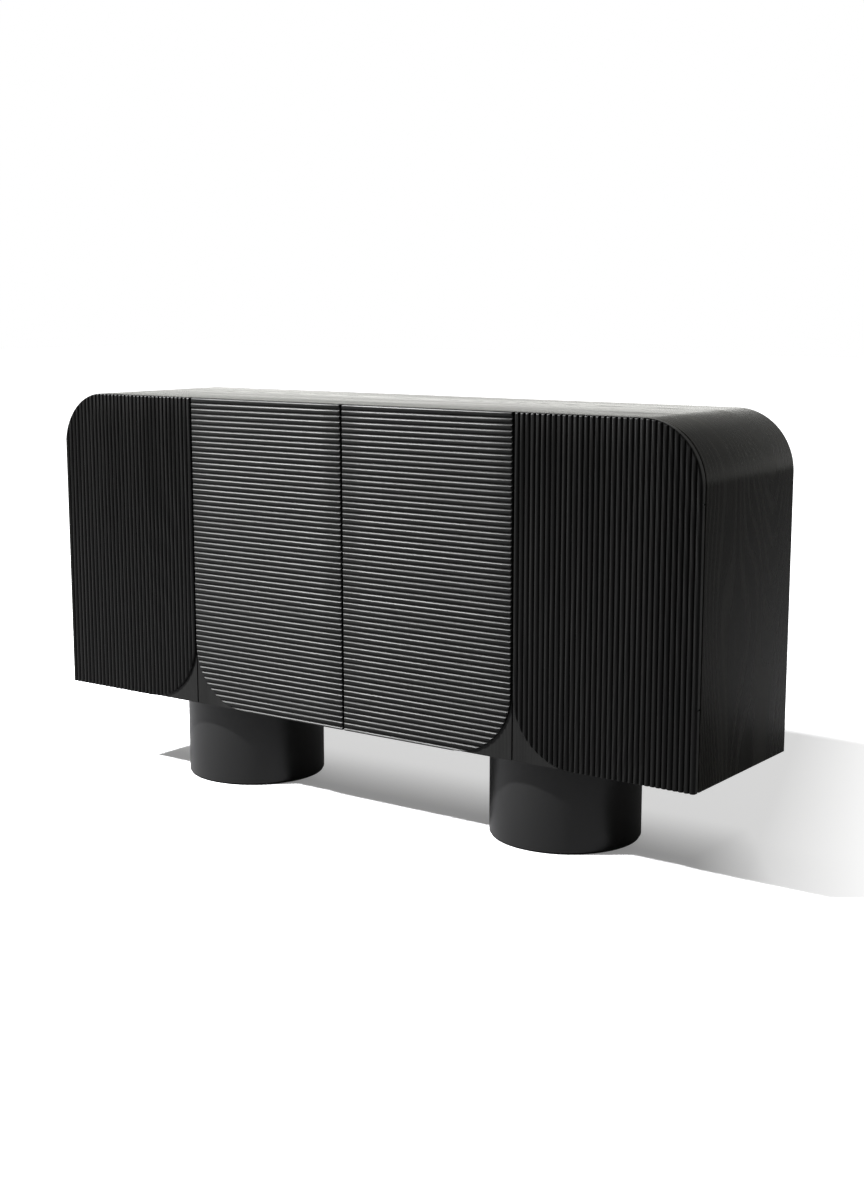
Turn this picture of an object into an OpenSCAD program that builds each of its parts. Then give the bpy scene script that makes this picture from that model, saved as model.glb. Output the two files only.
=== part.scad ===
// Four-door sideboard buffet on two round drum bases.
// X runs along the front, Y from the doors to the back, Z up; the floor is Z = 0.
// Origin: middle of the bounding box in plan, on the floor.

/* [Overall] */
// length over the sides, mm
width = 1700; // [1200:10:2200]
// depth from the reed crests to the back, mm
depth = 400; // [330:5:480]
// height over everything, mm
height = 905; // [750:5:1090]

/* [Carcass] */
// thickness of the carcass panels
panel_t = 25; // [19:1:30]
// outer radius of the bent upper corners
corner_r = 127; // [90:1:160]
// distance of the outer door gaps from the middle
split = 435.5; // [300:0.5:560]
// back panel thickness
back_t = 8; // [6:1:12]
// width of the rebate the back panel sits in
rebate = 10; // [8:1:12]
// shelf thickness
shelf_t = 20; // [16:1:25]
// height of the shelf tops over the floor of the compartments, as a part of the clear height
shelf_at = 0.5; // [0.3:0.05:0.7]

/* [Base] */
// height of the drums with their glide rings
drum_h = 200; // [120:5:260]
// drum diameter
drum_d = 324; // [240:2:340]
// how far the drum middles stand outside the door gaps
drum_out = 3; // [0:1:40]
// drum wall thickness
drum_wall = 12; // [9:1:18]
// glide ring thickness
glide_t = 4; // [2:0.5:8]

/* [Doors] */
// smooth core panel thickness
core_t = 10; // [10:0.5:14]
// thickness of the reeded face behind the grooves
face_t = 1; // [0.8:0.1:3]
// depth of the reeds
reed_d = 4.5; // [3:0.1:5]
// nominal reed width, rounded to a whole number of reeds
reed_w = 12.1; // [9:0.1:16]
// gap between neighbouring doors
door_gap = 3.5; // [3.5:0.1:5]
// shadow gap between the doors and the carcass
shadow_gap = 4; // [2:0.1:5]
// radius of the sweep that ends the reeding at the lower corners
sweep_r = 140; // [90:5:180]
// plain band over the horizontal reeds
band = 11.5; // [10.5:0.5:20]
// what is left of the lowest reed, cut through by the bottom edge
cut_reed = 6; // [3:0.5:9]
// bevel on the edges of the reeded faces
bevel = 3.5; // [3.5:0.1:4]

/* [Hinges] */
// hinge pin distance from the door edge
pin_in = 6; // [6:0.1:7]
// hinge pin distance from the back of the door
pin_back = 7; // [7:0.1:7.2]
// hinge pin diameter
pin_d = 3; // [2.8:0.1:3]
// lower hinge height over the door bottom
hinge_low = 162.15; // [120:0.05:200]
// upper hinge distance under the start of the bent corners
hinge_drop = 28.1; // [20:0.1:120]

/* [Push latches] */
// plunger rod diameter
rod_d = 6; // [5:0.5:8]
// plunger travel
travel = 20; // [15:1:30]

/* [Hidden] */
$fn = 48;
e = 0.1;
// overall planes
hw = width / 2;
y_front = -depth / 2;
y_rear = depth / 2;
door_t = core_t + face_t + reed_d;
y_core = y_front + reed_d + face_t;
y_door = y_front + door_t;
y_box = y_door + shadow_gap;
z0 = drum_h;
z1 = height;
door_h = z1 - z0;
z_floor = z0 + panel_t;
z_ceil = z1 - panel_t;
x_in = hw - panel_t;
y_mid = (y_box + y_rear) / 2;
y_back = y_rear - back_t;
// doors: inner and outer edges of the right-hand pair
oi = split + door_gap / 2;
oo = hw;
ii = door_gap / 2;
io = split - door_gap / 2;
n_vert = round((oo - oi) / reed_w);
n_horiz = round((door_h - band - cut_reed) / reed_w);
p_vert = (oo - oi) / n_vert;
p_horiz = (door_h - band - cut_reed) / n_horiz;
steps = 8;
// hinges
y_pin = y_door - pin_back;
fit = 0.05;
eye_r = pin_d / 2 + 1.1;
back_chamfer = pin_in / 4;
eye_t = 2.5;
neck = 3.8;
slot = eye_t + 0.7;
slot_in = pin_in + eye_r + 0.45;
shank_r = 2.25;
shank_l = 30;
fork_h = 12;
fork_in = pin_in + 11;
fork_edge = 1.8;
flange_t = 2.5;
flange_h = 32;
flange_a = 10;
flange_b = 34;
hinge_z = [z0 + hinge_low, z1 - corner_r - hinge_drop];
// push latches
latch_x = [ii + 38, oi + 34];
latch_w = 20;
latch_h = 14;
latch_l = 72;
latch_gap = 1.1;
z_latch = z_ceil - latch_h / 2;
strike_r = 6;
strike_t = 1.2;
tip_r = 5;
tip_t = 2.4;
tip_gap = 0.4;
// shelves and small fixings
z_shelf = z_floor + shelf_at * (z_ceil - z_floor);
shelf_front = y_box + 8;
shelf_play = 1;
peg_r = 2.5;
peg_l = 18;
peg_y = [-0.36 * depth, 0.36 * depth];
dowel_r = 4;
dowel_l = 30;
dowel_y = [-0.25 * depth, 0.25 * depth];
bs_r = 1.75;
bs_head = 3.2;
bs_l = 18;
drum_x = split + drum_out;
drum_r = drum_d / 2;
lid_t = 18;
disc_t = 12;
bolt_r = 3;
bolt_pc = 0.6 * drum_r;
// colours
oak = [0.19, 0.18, 0.17];
inner_oak = [0.23, 0.21, 0.19];
drum_c = [0.15, 0.15, 0.15];
steel = [0.62, 0.62, 0.63];
dark_steel = [0.3, 0.3, 0.31];
beech = [0.72, 0.58, 0.4];
felt = [0.07, 0.07, 0.07];

// ---------- helpers ----------
module both() { children(); mirror([1, 0, 0]) children(); }
// box from corner to corner
module box(a, b) { translate(a) cube(b - a); }
// flat outline in X and Z made into a plate from y = a to y = b
module plate(a, b) { translate([0, b, 0]) rotate([90, 0, 0]) linear_extrude(b - a) children(); }
// rod along Y from a to b, along X from a to b
module rod_y(r, a, b) { translate([0, b, 0]) rotate([90, 0, 0]) cylinder(r = r, h = b - a); }
module rod_x(r, a, b) { translate([a, 0, 0]) rotate([0, 90, 0]) cylinder(r = r, h = b - a); }
module rect(xa, xb, za, zb) { translate([xa, za]) square([xb - xa, zb - za]); }

// ---------- carcass ----------
// outline of the back panel and of its rebate
module back_outline() {
  r = corner_r - panel_t + rebate;
  cx = hw - corner_r;
  cz = z1 - corner_r;
  rect(-x_in - rebate, x_in + rebate, z_floor - rebate, cz);
  rect(-cx, cx, z_floor - rebate, z_ceil + rebate);
  for (s = [-1, 1]) translate([s * cx, cz]) circle(r = r, $fn = 96);
}
module rebate_cut() { plate(y_back, y_rear + e) back_outline(); }

module dowel_set() {
  for (y = dowel_y) both() {
    translate([hw - corner_r, y, z1 - panel_t / 2]) rod_x(dowel_r, -dowel_l / 2, dowel_l / 2);
    translate([hw - panel_t / 2, y, z1 - corner_r - dowel_l / 2]) cylinder(r = dowel_r, h = dowel_l);
    translate([0, y, z0 + panel_t / 2]) rod_x(dowel_r, x_in - dowel_l / 2, x_in + dowel_l / 2);
    translate([split, y, z_floor - dowel_l / 2]) cylinder(r = dowel_r, h = dowel_l);
    translate([split, y, z_ceil - dowel_l / 2]) cylinder(r = dowel_r, h = dowel_l);
  }
}
module dowels() color(beech) dowel_set();

// places of the back panel screws
module back_spots() {
  both() {
    for (k = [0.15, 0.45, 0.75])
      translate([x_in + rebate / 2, 0, z_floor + k * (z_ceil - corner_r - z_floor)]) children();
    for (k = [0.25, 0.5, 0.75]) translate([split, 0, z_floor + k * (z_ceil - z_floor)]) children();
    for (x = [0.14, 0.36] * width) {
      translate([x, 0, z_floor - rebate / 2]) children();
      translate([x, 0, z_ceil + rebate / 2]) children();
    }
  }
}
module back_screw() {
  rod_y(bs_head, y_rear - 1.5, y_rear);
  rod_y(bs_r, y_rear - bs_l, y_rear - 1.5);
}
module back_screws() color(dark_steel) back_spots() back_screw();

module peg_set() {
  for (y = peg_y) both() {
    translate([0, y, z_shelf - shelf_t - peg_r]) rod_x(peg_r, x_in - peg_l + 10, x_in + 10);
    translate([split + panel_t / 2, y, z_shelf - shelf_t - peg_r]) rod_x(peg_r, -10, peg_l - 10);
    translate([split - panel_t / 2, y, z_shelf - shelf_t - peg_r]) rod_x(peg_r, 10 - peg_l, 10);
  }
}
module shelf_pegs() color(steel) peg_set();

module eye_shanks() {
  for (x = [oo, io]) for (z = hinge_z)
    both() translate([x - pin_in, 0, z]) rod_y(shank_r, y_box, y_box + shank_l);
}

module top_panel() color(oak) difference() {
  box([corner_r - hw, y_box, z_ceil], [hw - corner_r, y_rear, z1]);
  rebate_cut();
  dowel_set();
  back_spots() back_screw();
  latch_screw_set();
}
module bent_corner() difference() {
  translate([hw - corner_r, y_rear, z1 - corner_r]) rotate([90, 0, 0]) rotate_extrude(angle = 90, $fn = 96)
    rect(corner_r - panel_t, corner_r, 0, y_rear - y_box);
  rebate_cut();
  dowel_set();
}
module right_corner() color(oak) bent_corner();
module left_corner() color(oak) mirror([1, 0, 0]) bent_corner();

module side_panel() difference() {
  box([x_in, y_box, z0], [hw, y_rear, z1 - corner_r]);
  rebate_cut();
  dowel_set();
  peg_set();
  back_spots() back_screw();
  eye_shanks();
}
module right_side() color(oak) side_panel();
module left_side() color(oak) mirror([1, 0, 0]) side_panel();

module bottom_panel() color(oak) difference() {
  box([-x_in, y_box, z0], [x_in, y_rear, z_floor]);
  rebate_cut();
  dowel_set();
  back_spots() back_screw();
  bolt_set();
}
module partition() difference() {
  box([split - panel_t / 2, y_box, z_floor], [split + panel_t / 2, y_back, z_ceil]);
  dowel_set();
  peg_set();
  back_spots() back_screw();
  eye_shanks();
}
module right_partition() color(inner_oak) partition();
module left_partition() color(inner_oak) mirror([1, 0, 0]) partition();

module back_panel() color(inner_oak) difference() {
  plate(y_back, y_rear) back_outline();
  back_spots() back_screw();
}
module shelf(xa, xb)
  box([xa + shelf_play, shelf_front, z_shelf - shelf_t], [xb - shelf_play, y_back - 2, z_shelf]);
module left_shelf() color(inner_oak) shelf(-x_in, -split - panel_t / 2);
module centre_shelf() color(inner_oak) shelf(-split + panel_t / 2, split - panel_t / 2);
module right_shelf() color(inner_oak) shelf(split + panel_t / 2, x_in);

// ---------- base ----------
module at_drum() translate([drum_x, y_mid, 0]) children();
module bolt() {
  translate([0, 0, z0 - lid_t - 5]) cylinder(r = 2 * bolt_r, h = 5);
  translate([0, 0, z0 - lid_t]) cylinder(r = bolt_r, h = lid_t + 0.6 * panel_t);
}
module bolt_set() both() at_drum() for (a = [45:90:315]) rotate([0, 0, a]) translate([bolt_pc, 0, 0]) bolt();
module drum_bolts() color(steel) bolt_set();
module drum() at_drum() difference() {
  translate([0, 0, glide_t]) cylinder(r = drum_r, h = z0 - glide_t, $fn = 128);
  translate([0, 0, glide_t - e]) cylinder(r = drum_r - drum_wall, h = z0, $fn = 128);
}
module right_drum() color(drum_c) drum();
module left_drum() color(drum_c) mirror([1, 0, 0]) drum();
module drum_lids() color(beech) difference() {
  both() at_drum() translate([0, 0, z0 - lid_t]) cylinder(r = drum_r - drum_wall, h = lid_t, $fn = 128);
  bolt_set();
}
module drum_discs() color(beech)
  both() at_drum() translate([0, 0, glide_t]) cylinder(r = drum_r - drum_wall, h = disc_t, $fn = 128);
module glide_rings() color(felt) both() at_drum() difference() {
  cylinder(r = drum_r - 3, h = glide_t, $fn = 128);
  translate([0, 0, -e]) cylinder(r = drum_r - drum_wall - 8, h = glide_t + 2 * e, $fn = 128);
}

// ---------- doors, right-hand pair ----------
module outer_outline() {
  rect(oi, oo, z0, z1 - corner_r);
  rect(oi, oo - corner_r, z0, z1);
  translate([oo - corner_r, z1 - corner_r]) circle(r = corner_r, $fn = 96);
}
module inner_outline() rect(ii, io, z0, z1);
// square corner piece left outside the sweep; s = -1 cuts the corner on the side of smaller X
module sweep_corner(x, s) difference() {
  rect(min(x + s * e, x - s * sweep_r), max(x + s * e, x - s * sweep_r), z0 - e, z0 + sweep_r);
  translate([x - s * sweep_r, z0 + sweep_r]) circle(r = sweep_r, $fn = 96);
}
// reed profile: n round-fronted reeds of width p, as points [across, depth]
function reed_r(p) = (p * p / 4 + reed_d * reed_d) / (2 * reed_d);
function crest(t, p) = sqrt(pow(reed_r(p), 2) - t * t) - (reed_r(p) - reed_d);
function reeds(n, p, from) = [for (k = [0:n - 1]) for (j = [0:steps - 1])
  [from + p * (k + j / steps), crest(p * (j / steps - 0.5), p)]];
function groove_y(d) = y_core - face_t - d;
module vertical_field() translate([0, 0, z0]) linear_extrude(door_h)
  polygon(concat([[oi, y_core]], [for (q = reeds(n_vert, p_vert, oi)) [q[0], groove_y(q[1])]],
    [[oo, groove_y(0)], [oo, y_core]]));
module horizontal_field() translate([ii, 0, 0]) rotate([90, 0, 90]) linear_extrude(io - ii)
  polygon(concat([[y_core, z0]],
    [for (j = [0:3]) [groove_y(crest(p_horiz / 2 - cut_reed * (1 - j / 4), p_horiz)), z0 + cut_reed * j / 4]],
    [for (q = reeds(n_horiz, p_horiz, z0 + cut_reed)) [groove_y(q[1]), q[0]]],
    [for (q = reeds(1, p_horiz, z1 - band)) if (q[0] <= z1 - band + p_horiz / 2) [groove_y(q[1]), q[0]]],
    [[y_front, z1], [y_core, z1]]));
// bevels on the front edges: top edge, standing edge at x with s to the outside, and quarter arcs
module top_bevel() translate([-e, 0, 0]) rotate([90, 0, 90]) linear_extrude(hw + 2 * e)
  polygon([[y_front - e, z1 + e], [y_front - e, z1 - bevel - e], [y_front + bevel + e, z1 + e]]);
module edge_bevel(x, s) translate([x, 0, z0 - e]) linear_extrude(door_h + 2 * e)
  polygon([[s * e, y_front - e], [-s * (bevel + e), y_front - e], [s * e, y_front + bevel + e]]);
module arc_bevel(x, z, r, turn)
  translate([x, 0, z]) rotate([90, turn, 0]) rotate_extrude(angle = 90, $fn = 96)
  polygon([[r + e, -y_front + e], [r - bevel - e, -y_front + e], [r + e, -y_front - bevel - e]]);

module outer_reeding() difference() {
  intersection() {
    plate(y_front, y_core) difference() {
      outer_outline();
      sweep_corner(oi, -1);
    }
    vertical_field();
  }
  top_bevel();
  arc_bevel(oo - corner_r, z1 - corner_r, corner_r, 0);
  arc_bevel(oi + sweep_r, z0 + sweep_r, sweep_r, 180);
}
module inner_reeding() difference() {
  intersection() {
    plate(y_front, y_core) difference() {
      inner_outline();
      sweep_corner(io, 1);
    }
    horizontal_field();
  }
  top_bevel();
  edge_bevel(ii, -1);
  edge_bevel(io, 1);
  arc_bevel(io - sweep_r, z0 + sweep_r, sweep_r, 90);
}
// hinge fork body without its screw holes; xe is the hinge edge of the door
module fork_solid(xe) for (z = hinge_z) translate([xe, 0, z]) {
  box([-fork_in, y_core, -fork_h / 2], [-fork_edge, y_door, fork_h / 2]);
  box([-flange_b, y_door - flange_t, -flange_h / 2], [-flange_a, y_door, flange_h / 2]);
}
module fork_slot(xe) for (z = hinge_z) translate([xe, 0, z])
  box([-slot_in, y_core - e, -slot / 2], [e, y_door + e, slot / 2]);
module pin_set(xe) for (z = hinge_z)
  translate([xe - pin_in, y_pin, z - fork_h / 2]) cylinder(d = pin_d, h = fork_h);
module screw_set(xe) for (z = hinge_z) for (s = [-1, 1])
  translate([xe - flange_b + 8, 0, z + s * 0.32 * flange_h]) {
  rod_y(2.8, y_door - 1.2, y_door);
  rod_y(1.5, y_core + 1, y_door - 1.2);
}
module strike_set(x)
  translate([x, 0, z_latch]) rod_y(strike_r, y_door - strike_t, y_door);
module forks(xe) difference() {
  fork_solid(xe);
  fork_slot(xe);
  pin_set(xe);
  screw_set(xe);
}
module core_cuts(xe, x) {
  fork_solid(xe);
  for (z = hinge_z) translate([xe, 0, z])
    box([-fork_edge - e, y_core - e, -slot / 2], [e, y_door + e, slot / 2]);
  screw_set(xe);
  strike_set(x);
  translate([xe, 0, z0 - e]) linear_extrude(door_h + 2 * e)
    polygon([[e, y_door + e], [-back_chamfer - e, y_door + e], [e, y_door - back_chamfer - e]]);
}
module outer_core() difference() {
  plate(y_core, y_door) outer_outline();
  core_cuts(oo, latch_x[1]);
}
module inner_core() difference() {
  plate(y_core, y_door) inner_outline();
  core_cuts(io, latch_x[0]);
}

// ---------- hinge eyes and latches ----------
module eye(x, z) translate([x, y_pin, z]) difference() {
  union() {
    translate([0, 0, -eye_t / 2]) cylinder(r = eye_r, h = eye_t);
    box([-neck / 2, 0, -eye_t / 2], [neck / 2, y_box - y_pin, eye_t / 2]);
    rod_y(shank_r, y_box - y_pin, y_box - y_pin + shank_l);
  }
  translate([0, 0, -eye_t]) cylinder(r = pin_d / 2 + fit, h = 2 * eye_t);
}
module hinge_eyes() color(steel) both() for (x = [oo, io]) for (z = hinge_z) eye(x - pin_in, z);

module latch_screw_set() both() for (x = latch_x) for (s = [-1, 1])
  translate([x + s * 6.5, y_box + latch_gap + (s > 0 ? 12 : 60), 0]) {
  translate([0, 0, z_ceil - latch_h]) cylinder(r = 2.6, h = 1.5);
  translate([0, 0, z_ceil - latch_h + 1.5]) cylinder(r = 1.5, h = latch_h + 10);
}
module latch_screws() color(steel) latch_screw_set();
module latch_bodies() color(dark_steel) difference() {
  both() for (x = latch_x)
    translate([x, y_box + latch_gap, 0])
      box([-latch_w / 2, 0, z_ceil - latch_h], [latch_w / 2, latch_l, z_ceil]);
  both() for (x = latch_x)
    translate([x, 0, z_latch]) rod_y(rod_d / 2 + 0.08, y_box, y_box + latch_gap + latch_l - 4);
  latch_screw_set();
}
module plunger(x) translate([x, 0, z_latch]) {
  rod_y(tip_r, y_door + tip_gap, y_door + tip_gap + tip_t);
  rod_y(rod_d / 2, y_door + tip_gap + tip_t, y_box + latch_l - 8);
}

// ---------- doors as nodes ----------
module right_outer_core() color(oak) outer_core();
module right_outer_reeding() color(oak) outer_reeding();
module right_outer_forks() color(dark_steel) forks(oo);
module right_outer_pins() color(steel) pin_set(oo);
module right_outer_screws() color(steel) screw_set(oo);
module right_outer_strike() color(steel) strike_set(latch_x[1]);
module right_outer_plunger() color(felt) plunger(latch_x[1]);
module right_inner_core() color(oak) inner_core();
module right_inner_reeding() color(oak) inner_reeding();
module right_inner_forks() color(dark_steel) forks(io);
module right_inner_pins() color(steel) pin_set(io);
module right_inner_screws() color(steel) screw_set(io);
module right_inner_strike() color(steel) strike_set(latch_x[0]);
module right_inner_plunger() color(felt) plunger(latch_x[0]);
module left_outer_core() color(oak) mirror([1, 0, 0]) outer_core();
module left_outer_reeding() color(oak) mirror([1, 0, 0]) outer_reeding();
module left_outer_forks() color(dark_steel) mirror([1, 0, 0]) forks(oo);
module left_outer_pins() color(steel) mirror([1, 0, 0]) pin_set(oo);
module left_outer_screws() color(steel) mirror([1, 0, 0]) screw_set(oo);
module left_outer_strike() color(steel) mirror([1, 0, 0]) strike_set(latch_x[1]);
module left_outer_plunger() color(felt) mirror([1, 0, 0]) plunger(latch_x[1]);
module left_inner_core() color(oak) mirror([1, 0, 0]) inner_core();
module left_inner_reeding() color(oak) mirror([1, 0, 0]) inner_reeding();
module left_inner_forks() color(dark_steel) mirror([1, 0, 0]) forks(io);
module left_inner_pins() color(steel) mirror([1, 0, 0]) pin_set(io);
module left_inner_screws() color(steel) mirror([1, 0, 0]) screw_set(io);
module left_inner_strike() color(steel) mirror([1, 0, 0]) strike_set(latch_x[0]);
module left_inner_plunger() color(felt) mirror([1, 0, 0]) plunger(latch_x[0]);

top_panel();
left_corner();
right_corner();
left_side();
right_side();
bottom_panel();
left_partition();
right_partition();
back_panel();
left_shelf();
centre_shelf();
right_shelf();
shelf_pegs();
dowels();
back_screws();
left_drum();
right_drum();
drum_lids();
drum_discs();
glide_rings();
drum_bolts();
hinge_eyes();
latch_bodies();
latch_screws();
left_outer_core();
left_outer_reeding();
left_outer_forks();
left_outer_pins();
left_outer_screws();
left_outer_strike();
left_outer_plunger();
left_inner_core();
left_inner_reeding();
left_inner_forks();
left_inner_pins();
left_inner_screws();
left_inner_strike();
left_inner_plunger();
right_inner_core();
right_inner_reeding();
right_inner_forks();
right_inner_pins();
right_inner_screws();
right_inner_strike();
right_inner_plunger();
right_outer_core();
right_outer_reeding();
right_outer_forks();
right_outer_pins();
right_outer_screws();
right_outer_strike();
right_outer_plunger();
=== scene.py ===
# %% [markdown]
# # A black oak sideboard with reeded doors
# The real piece is a long low cabinet: one bent carcass of black stained oak with rounded
# upper corners, four doors whose fronts are cut into round reeds, and two fat round drums
# underneath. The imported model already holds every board, hinge and screw at its true size.
# This lesson loads it as a fixed frame, remakes the surfaces that the eye dwells on, and
# gives every piece a finish. Everything is in metres, with X along the front, Y from the
# doors to the back and Z up.

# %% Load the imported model
import math

import bpy
import numpy as np
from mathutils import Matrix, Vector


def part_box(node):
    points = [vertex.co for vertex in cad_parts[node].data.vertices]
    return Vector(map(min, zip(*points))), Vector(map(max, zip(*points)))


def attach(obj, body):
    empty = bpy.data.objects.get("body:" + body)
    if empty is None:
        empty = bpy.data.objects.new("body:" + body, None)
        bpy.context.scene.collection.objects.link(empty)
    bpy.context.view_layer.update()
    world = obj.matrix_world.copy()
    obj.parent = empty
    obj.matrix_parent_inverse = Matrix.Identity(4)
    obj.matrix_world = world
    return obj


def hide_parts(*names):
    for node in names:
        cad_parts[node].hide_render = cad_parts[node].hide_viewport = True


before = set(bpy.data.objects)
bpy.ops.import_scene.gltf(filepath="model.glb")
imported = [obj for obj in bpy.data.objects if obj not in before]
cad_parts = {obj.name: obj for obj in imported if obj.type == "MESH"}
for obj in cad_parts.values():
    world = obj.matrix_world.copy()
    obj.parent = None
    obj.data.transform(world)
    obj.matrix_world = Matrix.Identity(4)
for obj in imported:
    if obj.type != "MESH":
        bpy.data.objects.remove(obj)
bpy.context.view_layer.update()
scene = bpy.context.scene

# %% [markdown]
# ## The camera
# A product picture of a long cabinet is taken from the side of one end, so that the front,
# one side and a sliver of the top all show. A 52 mm lens from nearly four metres keeps the
# long edges calm. The camera could aim at an empty with a constraint, but three turned
# angles say the same with nothing to track.

# %% Camera
LENS_MM, SENSOR_MM = 52.30, 36.0
CAMERA_PLACE = (2.294, -3.025, 1.117)
CAMERA_TILT, CAMERA_TURN = 80.43, 36.03

camera_data = bpy.data.cameras.new("camera")
camera_data.lens = LENS_MM
camera_data.sensor_width = SENSOR_MM
camera = bpy.data.objects.new("camera", camera_data)
camera.location = CAMERA_PLACE
camera.rotation_euler = (math.radians(CAMERA_TILT), 0.0, math.radians(CAMERA_TURN))
scene.collection.objects.link(camera)
scene.camera = camera
scene.view_settings.view_transform = "Standard"
scene.view_settings.look = "None"
print(f"camera with a {LENS_MM} mm lens at {CAMERA_PLACE}")

# %% [markdown]
# ## Sizes, read from the frame
# Boards could be typed in again by hand, but then a change in the model would leave the
# looks behind. Each size is therefore taken from the box of the piece it belongs to. The
# few that no box tells, such as the width of a reed, are written out as the model has them.

# %% Sizes
MM = 0.001


def span(node):
    """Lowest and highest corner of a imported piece, as two arrays of three numbers."""
    low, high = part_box(node)
    return np.array(low), np.array(high)


side_low, side_high = span("right_side")
corner_low, corner_high = span("right_corner")
reed_low, reed_high = span("right_outer_reeding")
inner_low, inner_high = span("right_inner_reeding")
back_low, back_high = span("back_panel")
drum_low, drum_high = span("right_drum")

HALF_WIDTH = side_high[0]
PANEL = side_high[0] - side_low[0]
CORNER_R = corner_high[0] - corner_low[0]
BASE_Z, TOP_Z = side_low[2], corner_high[2]
BOX_FRONT, BOX_REAR = side_low[1], side_high[1]
BACK_Y = back_low[1]
REBATE = back_high[0] - side_low[0]
CREST_Y, CORE_Y = reed_low[1], reed_high[1]
FACE = 1.0 * MM          # wood left under the grooves
REED_DEPTH = CORE_Y - CREST_Y - FACE
REED_WIDTH = 12.1 * MM   # aimed at; a whole number of reeds is fitted in
SWEEP_R = 140 * MM       # quarter round cut out of the reeding at the lower corners
BAND = 11.5 * MM         # plain band over the lying reeds
CUT_REED = 6.0 * MM      # what is left of the lowest lying reed
END_DROP = 4.1 * MM      # how far a reed's end rolls down
END_RUN = 5.0 * MM       # and along how much of its length
EASED = 0.8 * MM         # softened arrises of the boards
print(f"carcass {2 * HALF_WIDTH:.3f} m, panels {PANEL / MM:.1f} mm, "
      f"reeds {REED_DEPTH / MM:.1f} mm deep")

# %% [markdown]
# ## From numbers to a mesh
# Every new piece is a net of points, rows by columns, worked out as one array. A net that
# runs round on itself is closed by joining its last row or column to its first, and an open
# end of a closed tube gets one flat face. Blender could build such shapes from primitives
# and modifiers, but a net keeps each point where a formula says, and it is quick.

# %% Nets of points
def net_faces(rows, cols, close_rows, close_cols):
    """Four-sided faces between neighbours of a net: point (r, c) has number r * cols + c."""
    r = np.arange(rows if close_rows else rows - 1)[:, None]
    c = np.arange(cols if close_cols else cols - 1)[None, :]
    r2, c2 = (r + 1) % rows, (c + 1) % cols
    quads = np.stack([r * cols + c, r * cols + c2, r2 * cols + c2, r2 * cols + c], axis=-1)
    return quads.reshape(-1, 4)


def net_piece(name, points, close_rows=False, close_cols=False, caps=False, uv=None,
              sharp=32.0):
    """Mesh object from points[rows, cols, 3]. caps closes the first and last row with one
    flat face each. uv[rows, cols, 2] becomes the piece's own map. Faces are turned outwards
    by the sign of the closed mesh's volume."""
    rows, cols = points.shape[:2]
    quads = net_faces(rows, cols, close_rows, close_cols)
    loops = [list(map(int, q)) for q in quads]
    if caps:
        loops += [list(range(cols))[::-1], list(range((rows - 1) * cols, rows * cols))]
    flat = points.reshape(-1, 3)
    a, b, c = (flat[quads[:, k]] for k in (0, 1, 2))
    d = flat[quads[:, 3]]
    centre = flat.mean(0)
    volume = (np.einsum("ij,ij->", np.cross(a - centre, b - centre), c - centre)
              + np.einsum("ij,ij->", np.cross(a - centre, c - centre), d - centre))
    if volume < 0:
        loops = [loop[::-1] for loop in loops]
    mesh = bpy.data.meshes.new(name)
    mesh.from_pydata(flat.tolist(), [], loops)
    if uv is not None:
        corner_vertex = np.zeros(len(mesh.loops), np.int32)
        mesh.loops.foreach_get("vertex_index", corner_vertex)
        layer = mesh.uv_layers.new(name="grain")
        corner_uv = uv.reshape(-1, 2)[corner_vertex].astype(np.float32)
        layer.data.foreach_set("uv", corner_uv.ravel())
    mesh.validate()
    mesh.shade_smooth()
    mesh.set_sharp_from_angle(angle=math.radians(sharp))
    piece = bpy.data.objects.new(name, mesh)
    scene.collection.objects.link(piece)
    return piece


def settle(piece, body, slot, material, *nodes):
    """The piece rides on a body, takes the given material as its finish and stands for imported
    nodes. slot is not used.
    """
    piece.data.materials.clear()
    piece.data.materials.append(material)
    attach(piece, body)
    if nodes:
        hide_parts(*nodes)
    print(f"{piece.name}: {len(piece.data.polygons)} faces on {body}")
    return piece

# %% [markdown]
# ## Black stained oak
# The veneer is oak, stained nearly black under a thin satin lacquer, so colour hardly tells
# it is wood: the long rings, the fine fibres and the open pores do. The rings are those of
# a wavy trunk that the board cuts nearly along its length, which gives the arched figure of
# real veneer. Fibres and pores are noise pulled long along the grain. An image of oak would
# be easier, but it repeats and it has no depth for the reeds to cut into.

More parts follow.
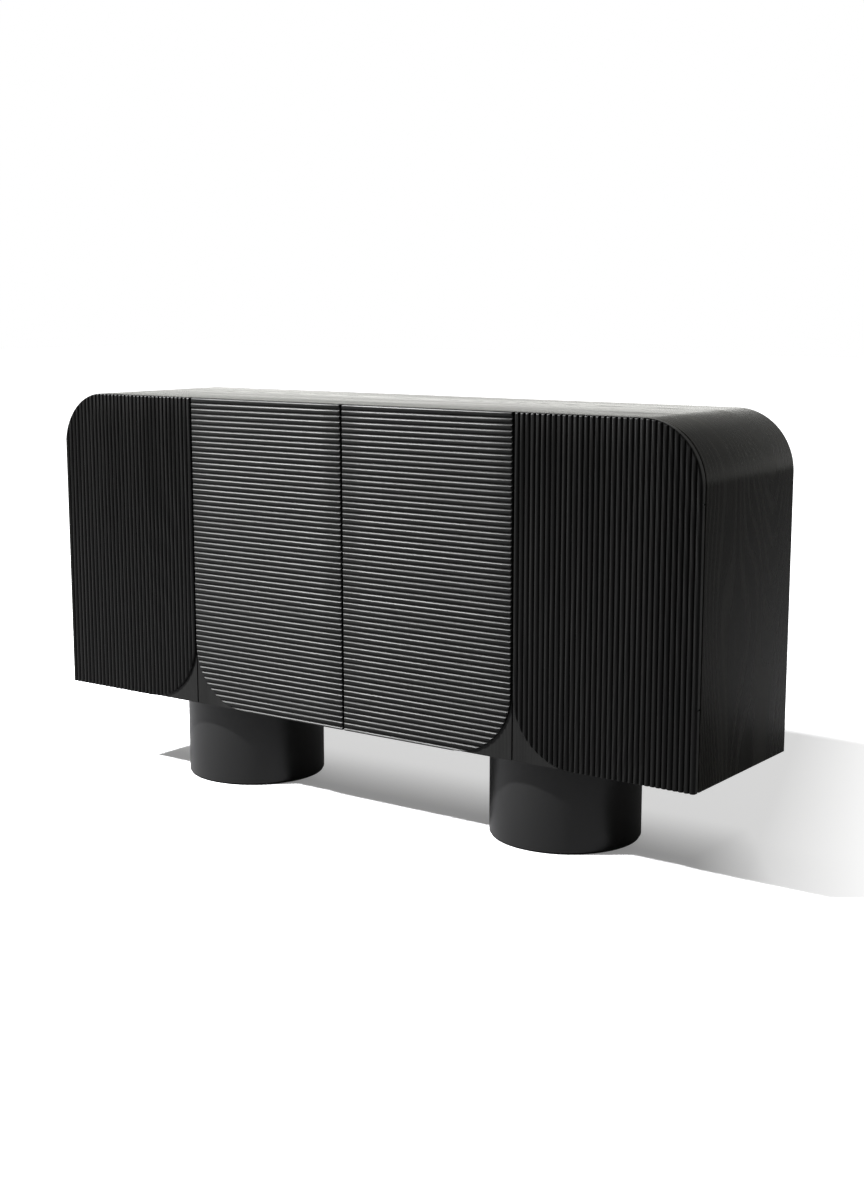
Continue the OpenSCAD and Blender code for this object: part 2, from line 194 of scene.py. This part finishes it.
# %% Node helper
class Finish:
    """A material whose nodes are added one call at a time."""

    def __init__(self, name, colour, roughness, specular=0.5, metallic=0.0, **uniform):
        self.material = bpy.data.materials.new(name)
        self.material.use_nodes = True
        self.tree = self.material.node_tree
        self.shader = self.tree.nodes["Principled BSDF"]
        self.set(self.shader, {"Base Color": (*colour, 1.0), "Roughness": roughness,
                               "Specular IOR Level": specular, "Metallic": metallic, **uniform})

    def set(self, node, values):
        for key, value in values.items():
            if isinstance(value, bpy.types.NodeSocket):
                self.tree.links.new(value, node.inputs[key])
            else:
                node.inputs[key].default_value = value

    def add(self, kind, values=None, out=0, **settings):
        """Adds a node, sets its settings, fills its inputs and returns one output."""
        node = self.tree.nodes.new("ShaderNode" + kind)
        for key, value in settings.items():
            setattr(node, key, value)
        self.set(node, values or {})
        return node.outputs[out]

    def math(self, operation, a, b=0.0, c=0.0):
        return self.add("Math", {0: a, 1: b, 2: c}, operation=operation)

    def spread(self, value, low, high, to_low, to_high):
        """Value between low and high made into a value between to_low and to_high."""
        return self.add("MapRange", {"Value": value, "From Min": low, "From Max": high,
                                     "To Min": to_low, "To Max": to_high})

    def stretch(self, vector, scale, shift=(0.0, 0.0, 0.0)):
        return self.add("Mapping", {"Vector": vector, "Scale": scale, "Location": shift})

    def noise(self, vector, scale, detail=2.0, rough=0.5):
        return self.add("TexNoise", {"Vector": vector, "Scale": scale, "Detail": detail,
                                     "Roughness": rough})

    def bump(self, height, distance, strength=1.0, normal=None):
        values = {"Height": height, "Distance": distance, "Strength": strength}
        if normal is not None:
            values["Normal"] = normal
        return self.add("Bump", values)

# %% Oak from a grain vector
def outline_reach(f):
    """How far a point lies from the middle of the nearest rounded corner, measured only
    outwards: on the straight and the round parts of the cabinet's outline alike it equals
    the corner's radius, and less inside."""
    place = f.add("SeparateXYZ", {0: f.add("TexCoord", out=3)}).node.outputs
    from_middle = f.math("ABSOLUTE", place[0])
    out_x = f.math("MAXIMUM", f.math("SUBTRACT", from_middle, HALF_WIDTH - CORNER_R))
    out_z = f.math("MAXIMUM", f.math("SUBTRACT", place[2], TOP_Z - CORNER_R))
    return f.add("VectorMath", {0: f.add("CombineXYZ", {"X": out_x, "Z": out_z})}, out=1,
                 operation="LENGTH")


RINGS_PER_M = 840.0      # turns of the sine's angle, in radians, for each metre of radius
ALONG = 0.075            # the trunk's rings are this much stretched out along the grain
FIBRES = (900.0, 6.0, 900.0)
PORES = (1500.0, 42.0, 1500.0)
CLOUDS = (16.0, 1.1, 16.0)
RELIEF = 0.12 * MM


def oak(name, grain, colour, roughness, specular, figure=1.0, pores=1.0, uv=False,
        painted_edge_light=None):
    """Stained oak. grain turns Object coordinates so that X runs across the grain, Y along
    it and Z into the board; with uv it is read from the piece's own map instead.
    Rings: sine of RINGS_PER_M times the length of (across, ALONG times along, depth), each
    moved a little and the first two bent by a slow noise. Fibres, pores and clouds: noise
    on coordinates scaled by the three numbers of each. The last argument is how many times
    lighter the faces on the board's outer edge are painted: a painted highlight for the light
    that these edges catch."""
    f = Finish(name, colour, roughness, specular)
    if uv:
        source = f.add("UVMap", uv_map="grain")
        vector = f.add("Mapping", {"Vector": source, "Rotation": (0.0, 0.0, math.pi / 2)})
    else:
        source = f.add("TexCoord", out=3)
        vector = f.add("Mapping", {"Vector": source, "Rotation": grain})
    slow = f.noise(f.stretch(vector, (3.0, 0.7, 3.0)), 1.0, 1.5)
    ring_space = f.stretch(vector, (1.0, ALONG, 1.0), (0.06, 0.02, 0.035))
    wobble = f.spread(slow, 0.0, 1.0, -0.11, 0.11)
    sway = f.add("CombineXYZ", {"X": wobble, "Y": wobble})
    bent = f.add("VectorMath", {0: ring_space, 1: sway}, operation="ADD")
    radius = f.add("VectorMath", {0: bent}, out=1, operation="LENGTH")
    rings = f.math("SINE", f.math("MULTIPLY", radius, RINGS_PER_M))
    early = f.math("POWER", f.spread(rings, -1.0, 1.0, 0.0, 1.0), 2.2)
    fibre = f.noise(f.stretch(vector, FIBRES), 1.0, 3.0, 0.6)
    pore_field = f.noise(f.stretch(vector, PORES), 1.0, 1.0)
    pore = f.math("MULTIPLY", f.spread(pore_field, 0.56, 0.68, 0.0, 1.0),
                  f.spread(early, 0.0, 0.6, 0.25, 1.0))
    cloud = f.noise(f.stretch(vector, CLOUDS), 1.0, 2.0)

    tone = f.math("ADD", f.spread(early, 0.0, 1.0, 1.0 - 0.35 * figure, 1.0 + 0.55 * figure),
                  f.spread(fibre, 0.3, 0.7, -0.22, 0.22))
    tone = f.math("MULTIPLY", tone, f.spread(cloud, 0.3, 0.7, 0.82, 1.2))
    tone = f.math("MULTIPLY", tone, f.spread(pore, 0.0, 1.0, 1.0, 1.0 - 0.5 * pores))
    # Painted highlight: the faces on the board's outer edge are made lighter, standing in for
    # the light that these edges catch.
    if painted_edge_light:
        edge_light_mask = f.math("GREATER_THAN", outline_reach(f), CORNER_R - 0.4 * MM)
        tone = f.math("MULTIPLY", tone, f.spread(edge_light_mask, 0.0, 1.0, 1.0, painted_edge_light))
    shade = f.add("VectorMath", {0: colour, 3: tone}, operation="SCALE")
    f.set(f.shader, {"Base Color": shade})
    rough = f.math("ADD", f.spread(early, 0.0, 1.0, roughness - 0.02, roughness + 0.03),
                   f.spread(cloud, 0.3, 0.7, -0.035, 0.035))
    f.set(f.shader, {"Roughness": rough})
    relief = f.math("ADD", f.spread(fibre, 0.0, 1.0, 0.0, 0.25),
                    f.math("ADD", f.spread(early, 0.0, 1.0, 0.3, 0.0),
                           f.spread(pore, 0.0, 1.0, 0.45, 0.0)))
    f.set(f.shader, {"Normal": f.bump(relief, RELIEF * pores, 0.8)})
    return f.material

# %% The oak finishes
QUARTER = math.pi / 2
UPRIGHT = (QUARTER, 0.0, 0.0)          # grain along Z: (x, y, z) becomes (x, -z, y)
LYING = (0.0, 0.0, QUARTER)            # grain along X: (x, y, z) becomes (-y, x, z)
WRAP_BLACK = (0.0210, 0.0206, 0.0182)
REED_BLACK = (0.0040, 0.0040, 0.0039)
DOOR_BLACK = (0.0092, 0.0092, 0.0090)
INSIDE_BLACK = (0.030, 0.0272, 0.0245)

oak_wrap = oak("oak wrap", None, WRAP_BLACK, 0.27, 0.17, 0.55, uv=True)
oak_upright_reeds = oak("oak upright reeds", UPRIGHT, REED_BLACK, 0.38, 0.13, 1.0)
oak_lying_reeds = oak("oak lying reeds", LYING, REED_BLACK, 0.42, 0.15, 0.5)
# The door cores carry a painted highlight: the faces on their outer edge are painted five times
# lighter.
oak_door = oak("oak door core", UPRIGHT, DOOR_BLACK, 0.40, 0.12, 0.25, 0.5, painted_edge_light=5.0)
oak_inside_upright = oak("oak inside upright", UPRIGHT, INSIDE_BLACK, 0.46, 0.25, 0.6)
oak_inside_lying = oak("oak inside lying", LYING, INSIDE_BLACK, 0.46, 0.25, 0.6)
print("oak finishes made")

# %% [markdown]
# ## The bent carcass
# On the real cabinet the veneer runs without a seam up one side, over the corner, along the
# top and down the other side. Three boxes and two bent blocks would show joints, so it is
# one piece here: the section of a panel, with softened edges and the step for the back
# panel, is carried along the path of the outer face. The map of the piece stores the way
# gone along that path, so the grain turns the corner with the wood.

# %% Path and section of the carcass
def wrap_path(steps=40):
    """Outer face from the left foot over the top to the right foot: points (x, z), outward
    normals and the distance gone. Corners are quarter circles of the outer radius."""
    cx, cz = HALF_WIDTH - CORNER_R, TOP_Z - CORNER_R
    turn = np.linspace(0.0, QUARTER, steps)
    left = np.stack([-cx - CORNER_R * np.cos(turn), cz + CORNER_R * np.sin(turn)], 1)
    left_n = np.stack([-np.cos(turn), np.sin(turn)], 1)
    right, right_n = left[::-1] * [-1, 1], left_n[::-1] * [-1, 1]
    up = np.linspace(BASE_Z, cz, 6)[:-1]
    foot = np.stack([np.full_like(up, -HALF_WIDTH), up], 1)
    foot_n = np.tile([-1.0, 0.0], (len(up), 1))
    flat_x = np.linspace(-cx, cx, 12)[1:-1]
    flat = np.stack([flat_x, np.full_like(flat_x, TOP_Z)], 1)
    flat_n = np.tile([0.0, 1.0], (len(flat_x), 1))
    points = np.concatenate([foot, left, flat, right, foot[::-1] * [-1, 1]])
    normals = np.concatenate([foot_n, left_n, flat_n, right_n, foot_n * [-1, 1]])
    gone = np.concatenate([[0.0], np.cumsum(np.linalg.norm(np.diff(points, axis=0), axis=1))])
    return points, normals, gone


def rounded(corners, radius, steps=5):
    """Closed outline with each corner of a polygon replaced by a short arc: points slide
    from one tangent point to the next on a quadratic curve through the corner."""
    corners = np.array(corners, float)
    before = np.roll(corners, 1, axis=0) - corners
    after = np.roll(corners, -1, axis=0) - corners
    before /= np.linalg.norm(before, axis=1)[:, None]
    after /= np.linalg.norm(after, axis=1)[:, None]
    t = np.linspace(0.0, 1.0, steps)[None, :, None]
    a, b = corners + before * radius, corners + after * radius
    curve = (1 - t) ** 2 * a[:, None] + 2 * t * (1 - t) * corners[:, None] + t ** 2 * b[:, None]
    return curve.reshape(-1, 2)


wrap_points, wrap_normals, wrap_gone = wrap_path()
section = rounded([(0.0, BOX_FRONT), (0.0, BOX_REAR), (REBATE - PANEL, BOX_REAR),
                   (REBATE - PANEL, BACK_Y), (-PANEL, BACK_Y), (-PANEL, BOX_FRONT)], EASED)
depth, y = section[:, 0], section[:, 1]
net = np.empty((len(wrap_points), len(section), 3))
net[..., 0] = wrap_points[:, :1] + wrap_normals[:, :1] * depth
net[..., 1] = y
net[..., 2] = wrap_points[:, 1:] + wrap_normals[:, 1:] * depth
wrap_uv = np.stack(np.broadcast_arrays(wrap_gone[:, None], (y - depth)[None, :]), axis=-1)
wrap = net_piece("carcass_wrap", net, close_cols=True, caps=True, uv=wrap_uv)
settle(wrap, "cabinet", "oak_stained", oak_wrap,
       "top_panel", "left_corner", "right_corner", "left_side", "right_side")

# %% [markdown]
# ## The reeded fronts
# Each door front is a board cut into round reeds, upright on the outer doors and lying on
# the inner ones, which keep a plain band over the reeds while the bottom edge cuts through
# the lowest one. The ends of the reeds roll over, also along the round corners. Reeds could
# be hundreds of cylinders, but one net is cleaner: across the reeds the height is an arc of
# a circle, repeated, and near an end it is limited by the distance to the edge.

# %% Reed profile
def reed_profile(start, end, cut=0.0, band=0.0, per_reed=14):
    """Stations across the reeds and the height at each, over the bottom of the grooves.
    A reed of width p and height d is an arc of radius (p p / 4 + d d) / (2 d). Under the
    first groove stands what the edge leaves of a cut reed, its arris eased by a quarter
    circle. Over the last groove half a reed rises into the plain band, and the band rolls
    over its edge on a quarter of an ellipse."""
    count = round((end - start - cut - band) / REED_WIDTH)
    pitch = (end - start - cut - band) / count
    radius = (pitch * pitch / 4 + REED_DEPTH ** 2) / (2 * REED_DEPTH)
    turn = math.asin(pitch / 2 / radius)
    arc = lambda t: np.maximum(np.sqrt(radius ** 2 - t ** 2) - (radius - REED_DEPTH), 0.0)
    t = radius * np.sin(np.linspace(-turn, turn, per_reed + 1))
    station = (start + cut + pitch * (np.arange(count)[:, None] + 0.5) + t[None, :-1]).ravel()
    height = np.tile(arc(t[:-1]), count)
    quarter = np.linspace(0.0, QUARTER, 6)
    if cut:
        low_t = np.linspace(pitch / 2 - cut + EASED, pitch / 2, 9)[:-1]
        low_t = np.concatenate([low_t[0] - EASED * np.cos(quarter[:-1]), low_t])
        drop = np.zeros(len(low_t))
        drop[:len(quarter) - 1] = EASED * (1.0 - np.sin(quarter[:-1]))
        station = np.concatenate([start + cut - pitch / 2 + low_t, station])
        height = np.concatenate([arc(low_t) - drop, height])
    if band:
        rise = t[:per_reed // 2 + 1]
        roll = END_RUN * np.sin(quarter)
        fall = END_DROP * (1.0 - np.cos(quarter))
        station = np.concatenate([station, end - band + pitch / 2 + rise, end - END_RUN + roll])
        height = np.concatenate([height, arc(rise), REED_DEPTH - fall])
    else:
        station, height = np.append(station, end), np.append(height, 0.0)
    print(f"{count} reeds of {pitch / MM:.2f} mm")
    return station, height


def end_line(station, limit, edge, centre, radius, inset):
    """Where a reed ends: the edge, or the round corner where the station lies beyond its
    centre. inset moves both inwards. edge and radius carry the sign of the outward way."""
    way = np.sign(radius)
    straight = edge - way * inset
    beyond = np.maximum((station - centre[0]) * limit, 0.0)
    arc = centre[1] + way * np.sqrt(np.maximum((abs(radius) - inset) ** 2 - beyond ** 2, 0.0))
    return np.where(beyond > 0, arc, straight)

# %% Reeded front
def reeded_front(name, station, height, ends, upright):
    """Closed board. Rows: stations across the reeds. Columns: along a reed from its low end
    to its high end on the front, then back along the flat rear face. ends gives, for the
    low and the high end, a function of the inset. Each end rolls over on a quarter of an
    ellipse with half axes END_RUN along the reed and END_DROP down: at a distance d from
    the edge the height is at most lip + END_DROP sqrt(1 - (1 - d / END_RUN) squared)."""
    low, high = ends
    lip = REED_DEPTH - END_DROP
    rise = np.clip(height - lip, 0.0, END_DROP) / END_DROP
    bend = END_RUN * (1.0 - np.sqrt(np.maximum(1.0 - rise ** 2, 0.0)))
    share = np.array([0.0, 0.03, 0.1, 0.22, 0.4, 0.65, 1.0])
    inset = bend[:, None] * share
    limit = lip + END_DROP * np.sqrt(np.maximum(1.0 - (1.0 - inset / END_RUN) ** 2, 0.0))
    lowered = np.minimum(height[:, None], limit)
    start = np.stack([low(d) for d in inset.T], axis=1)
    end = np.stack([high(d) for d in inset.T[::-1]], axis=1)
    centre = (start[:, :1] + end[:, -1:]) / 2
    start, end = np.minimum(start, centre), np.maximum(end, centre)
    between = np.linspace(0.0, 1.0, 9)[1:-1]
    middle = start[:, -1:] + (end[:, :1] - start[:, -1:]) * between
    along = np.hstack([start[:, :1], start, middle, end, end[:, -1:]])
    over = np.hstack([lowered, np.repeat(height[:, None], len(between), 1), lowered[:, ::-1]])
    rear = np.full((len(height), 1), CORE_Y)
    depth = np.hstack([rear, CORE_Y - FACE - over, rear])
    across = np.repeat(station[:, None], along.shape[1], 1)
    points = np.stack([across, depth, along] if upright else [along, depth, across], axis=-1)
    return net_piece(name, points, close_cols=True, caps=True, sharp=30.0)

# %% Two right-hand fronts
OUTER_IN, OUTER_OUT = reed_low[0], reed_high[0]
INNER_IN, INNER_OUT = inner_low[0], inner_high[0]
print(f"outer front {OUTER_IN:.4f} to {OUTER_OUT:.4f}, "
      f"inner front {INNER_IN:.4f} to {INNER_OUT:.4f}")
up_station, up_height = reed_profile(OUTER_IN, OUTER_OUT)
lie_station, lie_height = reed_profile(BASE_Z, TOP_Z, CUT_REED, BAND)


def outer_low_end(inset):
    """Lower ends of the upright reeds: only those over the sweep roll over."""
    on_sweep = up_station < OUTER_IN + SWEEP_R
    return end_line(up_station, -1, BASE_Z, (OUTER_IN + SWEEP_R, BASE_Z + SWEEP_R), -SWEEP_R,
                    inset * on_sweep)


def outer_high_end(inset):
    """Upper ends of the upright reeds: straight, then round the cabinet's corner."""
    return end_line(up_station, 1, TOP_Z, (OUTER_OUT - CORNER_R, TOP_Z - CORNER_R), CORNER_R,
                    inset)


def inner_low_end(inset):
    """Ends of the lying reeds beside the middle gap."""
    return INNER_IN + inset


def inner_high_end(inset):
    """Ends of the lying reeds beside the partition, with the sweep at the bottom."""
    return end_line(lie_station, -1, INNER_OUT, (BASE_Z + SWEEP_R, INNER_OUT - SWEEP_R),
                    SWEEP_R, inset)


right_outer = reeded_front("right_outer_front", up_station, up_height,
                           (outer_low_end, outer_high_end), True)
right_inner = reeded_front("right_inner_front", lie_station, lie_height,
                           (inner_low_end, inner_high_end), False)

# %% Left-hand fronts
def mirror_copy(piece, name):
    """A left-hand twin: x changes sign and every face is turned round again."""
    mesh = piece.data.copy()
    mesh.name = name
    co = np.empty(len(mesh.vertices) * 3, np.float32)
    mesh.vertices.foreach_get("co", co)
    co[0::3] *= -1
    mesh.vertices.foreach_set("co", co)
    mesh.flip_normals()
    mesh.update()
    twin = bpy.data.objects.new(name, mesh)
    scene.collection.objects.link(twin)
    return twin


left_outer = mirror_copy(right_outer, "left_outer_front")
left_inner = mirror_copy(right_inner, "left_inner_front")
for piece, door, finish in ((right_outer, "right_outer", oak_upright_reeds),
                            (left_outer, "left_outer", oak_upright_reeds),
                            (right_inner, "right_inner", oak_lying_reeds),
                            (left_inner, "left_inner", oak_lying_reeds)):
    settle(piece, door + "_door", "oak_reeded", finish, door + "_reeding")

# %% [markdown]
# ## The drums
# The cabinet stands on two round drums in charcoal satin lacquer, bolted up through a lid.
# A cylinder primitive has knife edges that never catch the light, so the wall's section,
# with its edges eased, is carried round the drum's own axis.

# %% Finish of the drums
DRUM_BLACK = (0.0060, 0.0060, 0.0061)
PEEL = 0.03 * MM

drum = Finish("drum lacquer", DRUM_BLACK, 0.36, 0.40)
drum_space = drum.add("TexCoord", out=3)
peel = drum.noise(drum_space, 420.0, 2.0)
mottle = drum.noise(drum_space, 9.0, 3.0)
drum.set(drum.shader, {"Roughness": drum.spread(mottle, 0.3, 0.7, 0.33, 0.40),
                       "Normal": drum.bump(peel, PEEL, 0.6)})
print("drum lacquer made: sprayed, with a fine orange peel")

# %% Two drums
def lathe(name, outline, x, y, turns=160):
    """Closed outline of (radius, z) carried round the upright line through (x, y)."""
    angle = np.arange(turns) * 2 * math.pi / turns
    r, z = outline[:, 0], outline[:, 1]
    points = np.stack([x + r * np.cos(angle)[:, None], y + r * np.sin(angle)[:, None],
                       np.broadcast_to(z, (turns, len(z)))], axis=-1)
    return net_piece(name, points, close_rows=True, close_cols=True)


DRUM_R = (drum_high[0] - drum_low[0]) / 2
DRUM_WALL = 12 * MM
DRUM_EASED = 1.5 * MM
DRUM_X, DRUM_Y = (drum_low[:2] + drum_high[:2]) / 2
wall = rounded([(DRUM_R, drum_low[2]), (DRUM_R, drum_high[2]),
                (DRUM_R - DRUM_WALL, drum_high[2]), (DRUM_R - DRUM_WALL, drum_low[2])],
               DRUM_EASED)
for way, node in ((1, "right_drum"), (-1, "left_drum")):
    settle(lathe(node + "_turned", wall, way * DRUM_X, DRUM_Y), "cabinet", "drum_lacquer",
           drum.material, node)

# %% [markdown]
# ## Hardware and hidden woods
# Hinge forks, pins, eyes, screws and push latches show only while a door is open, and the
# lids and discs of the drums only from below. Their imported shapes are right, so they stay
# and only get a finish: turned or brushed streaks on steel, grain on moulded plastic,
# fibres on felt and plain layers on the plywood.

# %% Finishes of the small pieces
def brushed(name, colour, roughness, streak):
    """Metal with fine streaks: noise pulled long along Z moves roughness and relief."""
    f = Finish(name, colour, roughness, 0.5, 1.0)
    lines = f.noise(f.stretch(f.add("TexCoord", out=3), (2600.0, 2600.0, 90.0)), 1.0, 2.0)
    uneven = f.spread(lines, 0.3, 0.7, roughness - streak, roughness + streak)
    f.set(f.shader, {"Roughness": uneven, "Normal": f.bump(lines, 0.02 * MM, 0.5)})
    return f.material


def speckled(name, colour, roughness, scale, depth, contrast, stretch=(1.0, 1.0, 1.0)):
    """Even stuff with a small pattern: noise moves colour, roughness and relief together."""
    f = Finish(name, colour, roughness, 0.3)
    grain = f.noise(f.stretch(f.add("TexCoord", out=3), stretch), scale, 3.0, 0.6)
    tone = f.spread(grain, 0.3, 0.7, 1.0 - contrast, 1.0 + contrast)
    shade = f.add("VectorMath", {0: colour, 3: tone}, operation="SCALE")
    f.set(f.shader, {"Base Color": shade,
                     "Roughness": f.spread(grain, 0.3, 0.7, roughness - 0.05, roughness + 0.05),
                     "Normal": f.bump(grain, depth, 0.7)})
    return f.material


zinc = brushed("bright zinc", (0.62, 0.62, 0.64), 0.32, 0.08)
black_zinc = brushed("black zinc", (0.075, 0.075, 0.08), 0.38, 0.08)
plastic = speckled("latch plastic", (0.026, 0.026, 0.028), 0.48, 1800.0, 0.04 * MM, 0.15)
felt_finish = speckled("black felt", (0.018, 0.018, 0.018), 0.95, 2600.0, 0.4 * MM, 0.45)
birch = speckled("birch plywood", (0.56, 0.42, 0.27), 0.55, 60.0, 0.08 * MM, 0.16,
                 stretch=(1.0, 0.08, 12.0))
print("finishes made: zinc, black zinc, plastic, felt, birch")

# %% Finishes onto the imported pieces
finishes = {
    "bottom_panel": oak_inside_lying, "left_partition": oak_inside_upright,
    "right_partition": oak_inside_upright, "back_panel": oak_inside_upright,
    "left_shelf": oak_inside_lying, "centre_shelf": oak_inside_lying,
    "right_shelf": oak_inside_lying, "shelf_pegs": zinc, "dowels": birch,
    "back_screws": black_zinc, "drum_lids": birch, "drum_discs": birch,
    "glide_rings": felt_finish, "drum_bolts": zinc, "hinge_eyes": zinc,
    "latch_bodies": plastic, "latch_screws": zinc,
}
for door in ("left_outer", "left_inner", "right_inner", "right_outer"):
    finishes.update({door + "_core": oak_door, door + "_forks": black_zinc,
                     door + "_pins": zinc, door + "_screws": zinc,
                     door + "_strike": zinc, door + "_plunger": plastic})
for node, finish in finishes.items():
    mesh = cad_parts[node].data
    mesh.materials.clear()
    mesh.materials.append(finish)
print(f"{len(finishes)} packed pieces have a finish")

# %% [markdown]
# ## Floor, light and backdrop
# The cabinet stands on a plain pale floor. One lamp high at the left in front draws the
# bright line along every lying reed and throws a clean shadow to the right, and a wide soft
# glow from behind, stronger at the left and low down, lies on the top as sheen. Seen
# directly, the backdrop is plain white from everywhere. A retoucher lets a studio shadow
# fade into the page with distance. The floor does the same: rays from the camera find it
# glowing a little more behind the cabinet, to its right and far away, while all other rays
# find a darker floor, so that it throws little light up under the cabinet. More lamps could
# lift the shadow too, but they would also wash out the reeds.

# %% Floor
FLOOR_REACH = 30.0
FLOOR_PALE = (0.79, 0.79, 0.81)
THROWN_BACK = 0.3        # share of its paleness that the floor shows to all but the camera
WHITE = (1.0, 1.0, 1.0, 1.0)

reach = np.array([-FLOOR_REACH, FLOOR_REACH])
floor_points = np.stack(np.broadcast_arrays(reach[None, :], reach[:, None], 0.0), axis=-1)
floor = net_piece("floor", floor_points)
pale = Finish("pale floor", FLOOR_PALE, 0.9, 0.1)
place = pale.add("TexCoord", out=3)
far = pale.add("VectorMath", {0: place}, out=1, operation="LENGTH")
split_place = pale.add("SeparateXYZ", {0: place}).node
x_place, y_place = split_place.outputs["X"], split_place.outputs["Y"]
beside = pale.math("MAXIMUM", pale.math("SUBTRACT", x_place, 0.75), 0.0)
behind_edge = pale.math("MULTIPLY_ADD", beside, 1.5, y_place)
rightwards = pale.math("MULTIPLY_ADD", y_place, 0.35, x_place)
direct = pale.add("LightPath")

glow_behind = pale.spread(behind_edge, 0.0, 0.26, 0.19, 0.48)
glow_right = pale.spread(rightwards, 0.87, 1.14, 0.0, 0.32)
glow_far = pale.spread(far, 2.0, 4.5, 0.0, 0.85)
glow_seen = pale.math("ADD", glow_behind, pale.math("ADD", glow_right, glow_far))
share = pale.spread(direct, 0.0, 1.0, THROWN_BACK, 1.0)
pale.set(pale.shader, {
    "Base Color": pale.add("VectorMath", {0: FLOOR_PALE, 3: share}, operation="SCALE"),
    "Emission Color": WHITE,
    "Emission Strength": pale.math("MULTIPLY", direct, glow_seen)})
floor.data.materials.append(pale.material)
print(f"floor of {2 * FLOOR_REACH:.0f} m laid")

# %% Lamp
LAMP_PLACE, LAMP_AIM = (-3.25, -2.94, 3.95), (0.0, 0.0, 0.4)
LAMP_SIZE, LAMP_WATTS = 0.27, 1300.0

lamp_data = bpy.data.lights.new("lamp", "AREA")
lamp_data.shape = "DISK"
lamp_data.size = LAMP_SIZE
lamp_data.energy = LAMP_WATTS
lamp = bpy.data.objects.new("lamp", lamp_data)
lamp.location = LAMP_PLACE
aim = np.array(LAMP_AIM) - np.array(lamp.location)
lamp.rotation_euler = (math.atan2(math.hypot(aim[0], aim[1]), -aim[2]), 0.0,
                       math.atan2(-aim[0], aim[1]))
scene.collection.objects.link(lamp)
print(f"lamp of {LAMP_WATTS:.0f} W at {LAMP_PLACE}")

# %% Backdrop
GLOW_COLOUR = (1.0, 1.0, 0.965, 1.0)
# For each part of the direction: from low to high, a value from the third to the fourth.
BEHIND = (-0.15, 0.15, 0.0, 1.0)       # Y, front to back
LEFTWARDS = (-0.40, 0.20, 2.50, 0.55)  # X, the glow's strength low down
ABOVE = (0.05, 0.26, 2.45, 0.36)       # Z, its fall upwards; the third comes from LEFTWARDS
STRENGTH = (0.0, 1.0, 0.12, 1.0)       # front to back; the fourth comes from ABOVE

world = bpy.data.worlds.new("studio")
scene.world = world
world.use_nodes = True
sky = world.node_tree
sky.nodes.clear()
make, link = sky.nodes.new, sky.links.new
direction = make("ShaderNodeTexCoord")
split = make("ShaderNodeSeparateXYZ")
behind, above, leftwards, glow_strength = (make("ShaderNodeMapRange") for _ in range(4))
glow, white = make("ShaderNodeBackground"), make("ShaderNodeBackground")
seen, mix = make("ShaderNodeLightPath"), make("ShaderNodeMixShader")
out = make("ShaderNodeOutputWorld")
for node, values in ((behind, BEHIND), (leftwards, LEFTWARDS), (above, ABOVE),
                     (glow_strength, STRENGTH)):
    for key, value in zip(("From Min", "From Max", "To Min", "To Max"), values):
        node.inputs[key].default_value = value
above.interpolation_type = leftwards.interpolation_type = "SMOOTHSTEP"
link(direction.outputs["Generated"], split.inputs[0])
link(split.outputs["Y"], behind.inputs["Value"])
link(split.outputs["Z"], above.inputs["Value"])
link(split.outputs["X"], leftwards.inputs["Value"])
link(leftwards.outputs[0], above.inputs["To Min"])
link(behind.outputs[0], glow_strength.inputs["Value"])
link(above.outputs[0], glow_strength.inputs["To Max"])
link(glow_strength.outputs[0], glow.inputs["Strength"])
link(seen.outputs["Is Camera Ray"], mix.inputs[0])
link(glow.outputs[0], mix.inputs[1])
link(white.outputs[0], mix.inputs[2])
link(mix.outputs[0], out.inputs[0])
white.inputs["Strength"].default_value = 1.0
white.inputs["Color"].default_value = WHITE
glow.inputs["Color"].default_value = GLOW_COLOUR
print("backdrop white to the camera, glowing from behind for the rest")
